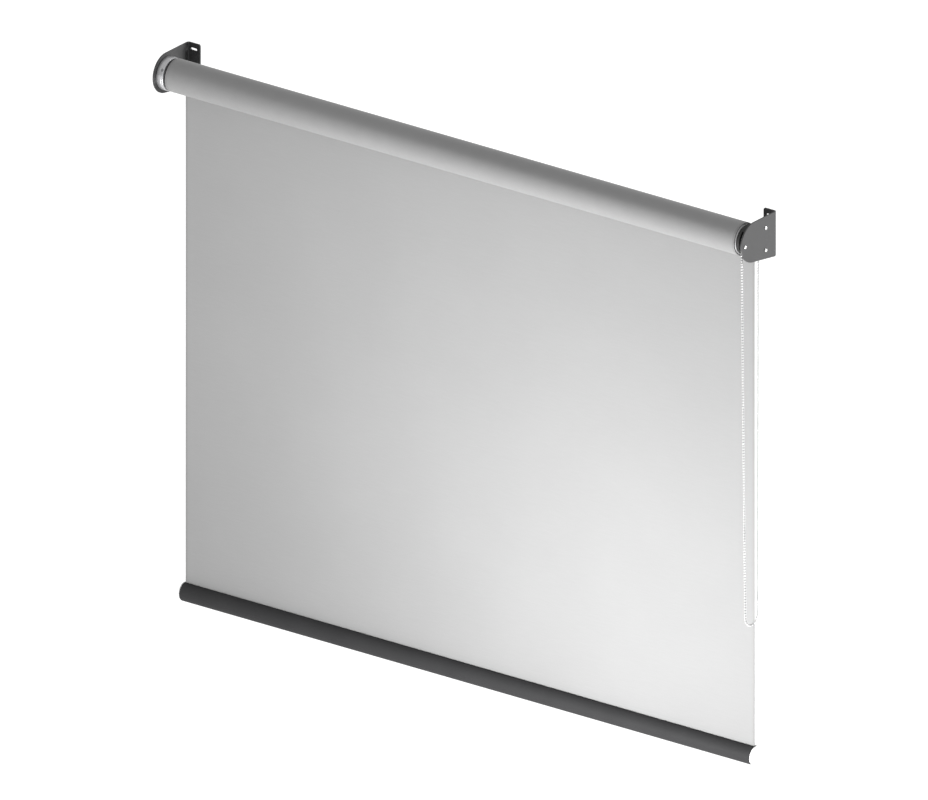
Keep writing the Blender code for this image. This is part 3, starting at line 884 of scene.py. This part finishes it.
@dataclass
class DriveUnit:
    """Chain wheel, guard and crown at the chain end.

    Attributes:
        layout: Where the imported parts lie.
        wheel_x: Middle of the chain's plane.
        bead_r: Radius of a bead.
        pitch: Spacing of the beads.
        beads: Pockets round the wheel.
        steps_per_bead: Segments of the wheel in one bead pitch.
        slack: Room round a bead in its pocket.
        rib_count: Ribs round the crown's collar.
        collar_t: Width of the crown's collar.
    """

    layout: Layout
    wheel_x: float
    bead_r: float = 0.00225
    pitch: float = 0.006
    beads: int = 29
    steps_per_bead: int = 8
    slack: float = 0.0003
    rib_count: int = 48
    collar_t: float = 0.0037

    @property
    def pitch_r(self) -> float:
        """Radius of the beads' centres on the wheel."""
        return self.beads * self.pitch / (2 * pi)

    def build(self) -> None:
        """Make the wheel, the guard and the crown, and dress what they hide."""
        self.wheel()
        self.crown()
        guard = copy_of("chain_guard").soften(0.0005)
        settle(guard.piece("chain_guard_shell", BLACK_PLASTIC), "root", "black_plastic", "chain_guard")
        dress(["drive_core"], BLACK_PLASTIC)
        dress(["core_clip", "brake_spring_1", "brake_spring_2"], PLAIN_STEEL)

    def wheel(self) -> None:
        """Make the chain wheel, with a pocket for each bead and a slot for the links between them."""
        low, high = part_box("chain_wheel")
        rim_r = (high.z - low.z) / 2
        bore_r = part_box("drive_core")[1].y - self.layout.axis_y
        bore_r = 0.0103 if bore_r > rim_r / 2.2 else bore_r
        near = high.x
        far = 2 * self.wheel_x - high.x
        room = self.bead_r + self.slack
        groove = [(self.wheel_x + room * cos(a), rim_r) for a in (0.0,)]
        fan = [radians(-180.0 * i / 12) for i in range(13)]
        groove += [(self.wheel_x + room * cos(a), self.pitch_r + room * sin(a)) for a in fan]
        groove += [(self.wheel_x - room, rim_r)]
        edge = 0.0003
        profile = [(near, bore_r), (near, rim_r - edge), (near - edge, rim_r), *groove]
        profile += [(far + edge, rim_r), (far, rim_r - edge), (far, bore_r)]
        form = Form().turn(profile, self.beads * self.steps_per_bead, closed=True)
        divider = rim_r - 0.0008
        slot_r = self.pitch_r - 0.0012
        slot_half = 0.0013
        for vert in form.bm.verts:
            radius = sqrt(vert.co.y**2 + vert.co.z**2)
            offset = abs(vert.co.x - self.wheel_x)
            if offset > room + MERGE or radius < self.pitch_r - room - MERGE:
                continue
            angle = atan2(vert.co.z, vert.co.y) - pi
            around = ((angle / (2 * pi) * self.beads + 0.5) % 1.0 - 0.5) * self.pitch
            reach = room**2 - offset**2 - around**2
            bead_floor = self.pitch_r - sqrt(reach) if reach > 0.0 else divider
            link_floor = slot_r if offset < slot_half else divider
            floor_r = min(bead_floor, link_floor)
            wanted = max(radius, floor_r) if radius < rim_r - MERGE else radius
            vert.co.y *= wanted / radius
            vert.co.z *= wanted / radius
        form.outward().shift(y=self.layout.axis_y)
        settle(form.piece("chain_wheel_pocketed", BLACK_PLASTIC, 40.0), "wheel", "black_plastic", "chain_wheel")

    def crown(self) -> None:
        """Make the crown: a ribbed collar, and the barrel inside the tube."""
        low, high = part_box("drive_crown")
        collar_r = (high.z - low.z) / 2
        start = high.x
        collar_end = start - self.collar_t
        plug_r = self.layout.tube_r - 0.0021
        bore = 0.0103
        deep = start - 0.027
        cavity = 0.0141
        edge = 0.0006
        groove_r = collar_r - edge
        near, far = start - 3 * edge, collar_end + 2 * edge
        profile = [
            (start, cavity), (start, collar_r - 5 * edge), (start - edge / 2, collar_r - 4 * edge),
            (start - edge / 2, groove_r), (start - edge, collar_r - edge / 4), (start - 1.5 * edge, collar_r),
            (near + edge / 2, collar_r), (near, groove_r), (far, groove_r), (far - edge / 2, collar_r),
            (collar_end + edge / 2, collar_r), (collar_end, collar_r - edge / 2), (collar_end, plug_r),
            (low.x + edge, plug_r), (low.x, plug_r - edge), (low.x, bore), (deep, bore), (deep, cavity),
        ]
        steps = 3 * self.rib_count
        form = Form().turn(profile, steps, closed=True)
        for vert in form.bm.verts:
            radius = sqrt(vert.co.y**2 + vert.co.z**2)
            if abs(radius - groove_r) > MERGE or not far - MERGE < vert.co.x < near + MERGE:
                continue
            index = round(atan2(vert.co.z, vert.co.y) / (2 * pi) * steps)
            rise = edge if index % 3 == 0 else -edge / 2
            vert.co.y *= (radius + rise) / radius
            vert.co.z *= (radius + rise) / radius
        form.outward().shift(y=self.layout.axis_y)
        piece = form.piece("drive_crown_moulding", BLACK_PLASTIC)
        key = Form().outline(
            [(-0.0051, 0.0264), (0.0051, 0.0264), (0.0051, 0.0315), (-0.0051, 0.0315)], Axis.X, low.x - 0.001,
            self.layout.tube_half + self.slack,
        )
        cut(piece, key.shift(y=self.layout.axis_y))
        settle(piece, "roller", "black_plastic", "drive_crown")


@dataclass
class IdleEnd:
    """Housing, lock screw and plug at the end without a chain.

    Attributes:
        layout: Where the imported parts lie.
        steps: Segments round the turned pieces.
        lock_angle: Rise of the lock screw above the front of the housing, in degrees.
    """

    layout: Layout
    steps: int = 120
    lock_angle: float = 31.0

    def build(self) -> None:
        """Make the housing and the plug, and dress the lock screw and the parts they hide."""
        self.housing()
        self.plug()
        dress(["idle_bearing", "idle_axle", "idle_lock_screw"], PLAIN_STEEL)

    def housing(self) -> None:
        """Turn the housing: a rounded drum with a stepped face round the bearing."""
        low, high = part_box("idle_housing")
        radius = (high.z - low.z) / 2
        seat_r = (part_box("idle_bearing")[1].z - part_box("idle_bearing")[0].z) / 2 + 0.0003
        seat_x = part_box("idle_bearing")[0].x - 0.0003
        relief = (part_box("idle_axle")[1].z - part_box("idle_axle")[0].z) / 2 + 0.0012
        relief_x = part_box("idle_axle")[0].x - 0.0003
        back, front = low.x, high.x
        round_r = 0.0022
        step = 0.0010
        profile = [(back, 0.0), (back, radius - 0.0008), (back + 0.0008, radius)]
        profile += [(front - 2.4 * round_r, radius), (front - 2.2 * round_r, radius - step / 3)]
        profile += [(front - 2.0 * round_r, radius)]
        profile += arc((front - round_r, radius - round_r), round_r, 90.0, 0.0, 8)
        profile += [(front, seat_r + 0.009), (front - step, seat_r + 0.008), (front - step, seat_r + 0.003)]
        profile += [(front, seat_r + 0.002), (front, seat_r + 0.0004), (front - 0.0004, seat_r)]
        profile += [(seat_x, seat_r), (seat_x, relief), (relief_x, relief), (relief_x, 0.0)]
        form = Form().turn(profile, self.steps).shift(y=self.layout.axis_y)
        piece = form.piece("idle_housing_drum", SATIN_SILVER)
        lock_low, lock_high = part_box("idle_lock_screw")
        middle = (lock_low.x + lock_high.x) / 2
        lean = radians(self.lock_angle)
        outwards = Vector((0.0, -cos(lean), sin(lean)))
        turn = Vector((1.0, 0.0, 0.0)).rotation_difference(outwards).to_matrix().to_4x4()
        well = Form().turn(
            [(radius - 0.0125, 0.0), (radius - 0.0125, 0.0028), (radius - 0.0008, 0.0028), (radius + 0.002, 0.0050),
             (radius + 0.002, 0.0)], 32,
        )
        well.move(Matrix.Translation((middle, self.layout.axis_y, 0.0)) @ turn)
        cut(piece, well)
        for i in (1, 2, 3):
            screw_low, screw_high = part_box(f"idle_screw_{i}")
            centre = (screw_low + screw_high) / 2
            hole = Form().turn(
                [(back - 0.001, 0.0), (back - 0.001, 0.0023), (screw_high.x + 0.0003, 0.0023),
                 (screw_high.x + 0.0003, 0.0)], 24,
            )
            cut(piece, hole.shift(0.0, centre.y, centre.z))
        settle(piece, "root", "housing", "idle_housing")

    def plug(self) -> None:
        """Turn the plug: a dark collar beside the housing, and the barrel inside the tube."""
        low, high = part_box("idle_plug")
        collar_r = (high.z - low.z) / 2
        collar_end = -self.layout.tube_half - 0.0003
        barrel_r = self.layout.tube_r - 0.0021
        bore = (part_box("idle_axle")[1].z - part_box("idle_axle")[0].z) / 2 + 0.0003
        edge = 0.0005
        profile = [(low.x, bore), (low.x, collar_r - edge), (low.x + edge, collar_r), (collar_end - edge, collar_r)]
        profile += [(collar_end, collar_r - edge), (collar_end, barrel_r), (high.x - 2 * edge, barrel_r)]
        profile += [(high.x, barrel_r - 2 * edge), (high.x, bore)]
        form = Form().turn(profile, self.steps, closed=True).shift(y=self.layout.axis_y)
        piece = form.piece("idle_plug_moulding", BLACK_PLASTIC)
        key = Form().outline(
            [(-0.0051, 0.0264), (0.0051, 0.0264), (0.0051, 0.0315), (-0.0051, 0.0315)], Axis.X, collar_end,
            high.x + 0.001,
        )
        cut(piece, key.shift(y=self.layout.axis_y))
        settle(piece, "roller", "black_plastic", "idle_plug")


@dataclass
class BottomBar:
    """Round bar with its hem pocket, end caps, spline and ballast.

    Attributes:
        layout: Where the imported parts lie.
        wall: The bar's wall.
        pocket_r: Radius of the hem pocket.
        pocket_wall: Metal round the pocket.
        pocket_cover: Metal over the pocket.
        slot_w: Width of the slot.
        steps: Segments round the bar.
    """

    layout: Layout
    wall: float = 0.0018
    pocket_r: float = 0.004
    pocket_wall: float = 0.0016
    pocket_cover: float = 0.002
    slot_w: float = 0.0026
    steps: int = 120

    def build(self) -> None:
        """Make the bar and its caps, and dress what is inside."""
        low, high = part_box("bottom_bar")
        self.bar(low, high)
        for name, end in (("bar_cap_left", End.IDLE), ("bar_cap_right", End.DRIVE)):
            self.cap(name, end, high)
        dress(["hem_spline", "fabric_strip"], WHITE_PLASTIC)
        dress(["ballast_rod"], PLAIN_STEEL)

    def bar(self, low: Vector, high: Vector) -> None:
        """Extrude the bar's section.

        Args:
            low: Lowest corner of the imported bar.
            high: Its highest corner.
        """
        radius = (high.y - low.y) / 2
        centre_z = low.z + radius
        pocket = (0.0, radius - self.pocket_cover - self.pocket_r)
        half = self.slot_w / 2
        mouth = degrees(asin(half / radius))
        throat = degrees(asin(half / self.pocket_r))
        outline = arc((0.0, 0.0), radius, 90.0 + mouth, 450.0 - mouth, self.steps)
        outline += arc(pocket, self.pocket_r, 90.0 - throat, throat - 270.0, 32)
        form = Form().outline(outline, Axis.X, low.x, high.x)
        piece = form.shift(y=self.layout.sheet_y, z=centre_z).piece("bottom_bar_extrusion", ANTHRACITE)
        bore_r = radius - self.wall
        boss_r = self.pocket_r + self.pocket_wall
        rise = (bore_r**2 - boss_r**2 + pocket[1]**2) / (2 * pocket[1])
        side = sqrt(bore_r**2 - rise**2)
        bore_edge = degrees(atan2(side, rise))
        boss_edge = degrees(atan2(rise - pocket[1], side))
        hollow = arc((0.0, 0.0), bore_r, 90.0 + bore_edge, 450.0 - bore_edge, self.steps)
        hollow += arc(pocket, boss_r, boss_edge, -180.0 - boss_edge, 24)[1:-1]
        past = 0.001
        void = Form().outline(hollow, Axis.X, low.x - past, high.x + past)
        cut(piece, void.shift(y=self.layout.sheet_y, z=centre_z))
        settle(piece, "hem_bar", "bar", "bottom_bar")

    def cap(self, node: str, end: End, bar_high: Vector) -> None:
        """Turn an end cap.

        Args:
            node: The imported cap.
            end: Its end of the blind.
            bar_high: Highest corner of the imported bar.
        """
        low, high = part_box(node)
        radius = (high.z - low.z) / 2
        centre_z = (high.z + low.z) / 2
        face = bar_high.x + 0.0003
        outer = max(abs(low.x), abs(high.x))
        inner = min(abs(low.x), abs(high.x))
        plug_r = radius - self.wall - 0.0006
        soft = 0.0009
        profile = [(inner, 0.0), (inner, plug_r - soft), (inner + soft, plug_r), (face, plug_r), (face, radius)]
        profile += arc((outer - soft, radius - soft), soft, 90.0, 0.0, 5)
        profile.append((outer, 0.0))
        form = Form().turn([(end.value * x, r) for x, r in profile], self.steps)
        form.shift(y=self.layout.sheet_y, z=centre_z)
        piece = form.piece(f"{node}_moulding", WHITE_PLASTIC)
        pocket_z = centre_z + radius - self.pocket_cover - self.pocket_r
        clear = self.pocket_r + self.pocket_wall + 0.0003
        ends = sorted((end.value * (inner - 0.0003), end.value * face))
        notch = Form().turn([(ends[0], 0.0), (ends[0], clear), (ends[1], clear), (ends[1], 0.0)], 48)
        cut(piece, notch.shift(y=self.layout.sheet_y, z=pocket_z))
        settle(piece, "hem_bar", "white_plastic", node)


@dataclass
class BallChain:
    """The endless ball chain: its hanging loop and the half turn on the wheel.

    Attributes:
        drive: The drive unit whose wheel it runs on.
        steps: Points read between two points of the route.
        link_r: Radius of the links between beads.
        route: The hanging loop, as Y from the roller's axis and Z.
    """

    drive: DriveUnit
    steps: int = 3
    link_r: float = 0.0009
    route: Sequence[Point2] = field(
        default_factory=lambda: (
            (-0.0277, 0.000), (-0.0268, -0.060), (-0.0256, -0.150), (-0.0241, -0.260), (-0.0224, -0.380),
            (-0.0206, -0.500), (-0.0188, -0.620), (-0.0170, -0.720), (-0.0158, -0.780), (-0.0150, -0.812),
            (-0.0121, -0.8227), (-0.0045, -0.8311), (0.0055, -0.8338), (0.0153, -0.8309), (0.0227, -0.8224),
            (0.0254, -0.811), (0.0256, -0.780), (0.0258, -0.720), (0.0260, -0.620), (0.0263, -0.500),
            (0.0266, -0.380), (0.0269, -0.260), (0.0272, -0.150), (0.0275, -0.060), (0.0277, 0.000),
        )
    )

    def smooth(self) -> list[Vector]:
        """Points read from a smooth curve through the route's points."""
        own = [Vector(p) for p in self.route]
        ends = [2 * own[0] - own[1], *own, 2 * own[-1] - own[-2]]
        read = []
        for a, b, c, d in zip(ends, ends[1:], ends[2:], ends[3:]):
            near = (c - a).normalized() * (c - b).length
            far = (d - b).normalized() * (c - b).length
            for i in range(self.steps):
                t = i / self.steps
                point = b * (2 * t**3 - 3 * t**2 + 1) + near * (t**3 - 2 * t**2 + t)
                read.append(point + c * (3 * t**2 - 2 * t**3) + far * (t**3 - t**2))
        return [*read, own[-1]]

    def path(self) -> list[Vector]:
        """The whole loop: down the front, up the back, and over the wheel to the front again."""
        x = self.drive.wheel_x
        y = self.drive.layout.axis_y
        over = arc((0.0, 0.0), self.drive.pitch_r, 0.0, 180.0, 40)
        flat = [*[(p.x, p.y) for p in self.smooth()], *over[1:]]
        return [Vector((x, y + v, w)) for v, w in flat]

    def beads(self, line: list[Vector]) -> list[Vector]:
        """Bead centres, evenly spaced along the loop from the wheel's front.

        Args:
            line: The loop.

        Returns:
            One point for each bead.
        """
        lengths = [(b - a).length for a, b in zip(line, line[1:])]
        total = sum(lengths)
        count = round(total / self.drive.pitch)
        gap = total / count
        centres = []
        walked = 0.0
        for start, end, length in zip(line, line[1:], lengths):
            while len(centres) < count and len(centres) * gap <= walked + length:
                share = (len(centres) * gap - walked) / length
                centres.append(start.lerp(end, share))
            walked += length
        return centres

    def bead_and_link(self) -> bpy.types.Mesh:
        """One bead at the origin and the link above it, up to the next bead."""
        form = Form()
        reach = self.drive.pitch - 1.6 * self.drive.bead_r
        middle = Matrix.Translation((0.0, 0.0, self.drive.pitch / 2))
        bmesh.ops.create_cone(
            form.bm, cap_ends=True, segments=6, radius1=self.link_r, radius2=self.link_r, depth=reach, matrix=middle
        )
        # The link faces take the second material, near black: painted shade between the beads.
        for face in form.bm.faces:
            face.material_index = 1
        bmesh.ops.create_uvsphere(form.bm, u_segments=8, v_segments=6, radius=self.drive.bead_r)
        mesh = bpy.data.meshes.new("bead_and_link")
        form.bm.to_mesh(mesh)
        form.bm.free()
        return mesh

    def build(self) -> bpy.types.Object:
        """Returns:
            The finished piece.
        """
        line = self.path()
        centres = self.beads(line)
        pattern = self.bead_and_link()
        form = Form()
        for here, after in zip(centres, centres[1:] + centres[:1]):
            turn = Vector((0.0, 0.0, 1.0)).rotation_difference((after - here).normalized()).to_matrix().to_4x4()
            placed = pattern.copy()
            placed.transform(Matrix.Translation(here) @ turn)
            form.bm.from_mesh(placed)
            bpy.data.meshes.remove(placed)
        bpy.data.meshes.remove(pattern)
        piece = form.piece("bead_chain", NICKEL_BEADS, 60.0)
        # The links' near-black finish is painted shade between the beads.
        piece.data.materials.append(LINKS_PAINTED_SHADE.material())
        settle(piece, "root", "bright_steel", "chain_loop", "chain_wrap")
        return piece


# ---------------------------------------------------------------- studio


@dataclass
class Studio:
    """Pale floor, soft light and the camera.

    Attributes:
        azimuth: The camera's turn to the right of straight ahead, in degrees.
        elevation: Its rise, in degrees.
        aim: The point at the middle of the view.
        width: Width of the view.
        distance: The camera's distance.
        horizon: Brightness of the air at the horizon.
        zenith: Its brightness overhead.
    """

    azimuth: float = 37.0
    elevation: float = 22.5
    aim: Vector = field(default_factory=lambda: Vector((0.0875, -0.1780, -0.4703)))
    width: float = 1.856
    distance: float = 5.0
    horizon: float = 0.3
    zenith: float = 0.72

    def build(self) -> None:
        """Set the stage."""
        self.camera()
        self.floor()
        self.world()
        self.lamp("low_key", (0.373, -1.214, -1.196), (0.96, -0.04, 0.259), 0.5, 36.0)
        self.lamp("front_fill", (-0.4, -4.6, -1.3), (0.0, -0.04, -0.5), 3.0, 42.0)
        self.lamp("side_glow", (7.0, 4.0, 1.0), (0.0, -0.05, -0.3), 3.0, 560.0)
        bpy.context.scene.view_settings.view_transform = "Standard"

    def camera(self) -> None:
        """Place the camera, with parallel sight lines."""
        a, e = radians(self.azimuth), radians(self.elevation)
        back = Vector((sin(a) * cos(e), -cos(a) * cos(e), sin(e)))
        data = bpy.data.cameras.new("view")
        data.type = "ORTHO"
        data.ortho_scale = self.width
        made = bpy.data.objects.new("view", data)
        made.location = self.aim + back * self.distance
        made.rotation_mode = "QUATERNION"
        made.rotation_quaternion = (-back).to_track_quat("-Z", "Y")
        bpy.context.collection.objects.link(made)
        bpy.context.scene.camera = made

    def floor(self) -> None:
        """Lay a pale floor well below the blind."""
        form = Form()
        bmesh.ops.create_grid(form.bm, x_segments=1, y_segments=1, size=40.0)
        finish = HardFinish("pale_floor", "bracket", (0.5, 0.5, 0.5), 0.9, mottle=0.0, rough_spread=0.0)
        piece = form.shift(z=-2.6).piece("floor", finish)
        shader = piece.data.materials[0].node_tree.nodes["Principled BSDF"]
        shader.inputs["Emission Color"].default_value = (1.0, 1.0, 1.0, 1.0)
        shader.inputs["Emission Strength"].default_value = 0.75

    def world(self) -> None:
        """Light the air softly, more overhead than at the horizon."""
        made = bpy.data.worlds.new("air")
        made.use_nodes = True
        tree = made.node_tree
        split = tree.nodes.new("ShaderNodeSeparateXYZ")
        tree.links.new(tree.nodes.new("ShaderNodeTexCoord").outputs["Generated"], split.inputs[0])
        fade = tree.nodes.new("ShaderNodeMapRange")
        for name, value in (("From Min", 0.0), ("From Max", 0.5), ("To Min", self.horizon), ("To Max", self.zenith)):
            fade.inputs[name].default_value = value
        tree.links.new(split.outputs["Z"], fade.inputs["Value"])
        background = tree.nodes["Background"]
        background.inputs["Color"].default_value = (1.0, 1.0, 1.0, 1.0)
        tree.links.new(fade.outputs["Result"], background.inputs["Strength"])
        bpy.context.scene.world = made

    @staticmethod
    def lamp(
        name: str, place: Sequence[float], target: Sequence[float], size: float, power: float
    ) -> bpy.types.Object:
        """Hang a soft square lamp.

        Args:
            name: Its name.
            place: Where it is.
            target: What it faces.
            size: Its side.
            power: Its power in watts.

        Returns:
            The lamp.
        """
        data = bpy.data.lights.new(name, "AREA")
        data.size = size
        data.energy = power
        made = bpy.data.objects.new(name, data)
        made.location = place
        made.rotation_mode = "QUATERNION"
        made.rotation_quaternion = (Vector(target) - Vector(place)).to_track_quat("-Z", "Y")
        bpy.context.collection.objects.link(made)
        return made


def corners(box: tuple[Vector, Vector]) -> list[list[float]]:
    """A box's two corners as plain lists."""
    return [list(box[0]), list(box[1])]


def main() -> None:
    """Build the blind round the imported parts, then the stage."""
    logging.basicConfig(level=logging.INFO, format="%(message)s")
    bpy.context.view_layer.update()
    layout = Layout.read()
    Studio().build()
    drive = DriveUnit(layout, sum(corner.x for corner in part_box("chain_loop")) / 2)
    BallChain(drive).build()
    drive.build()
    WallBrackets().build()
    Screws().build()
    Roller(layout).build()
    HangingCloth(layout).build()
    IdleEnd(layout).build()
    BottomBar(layout).build()


if __name__ == "__main__":
    main()
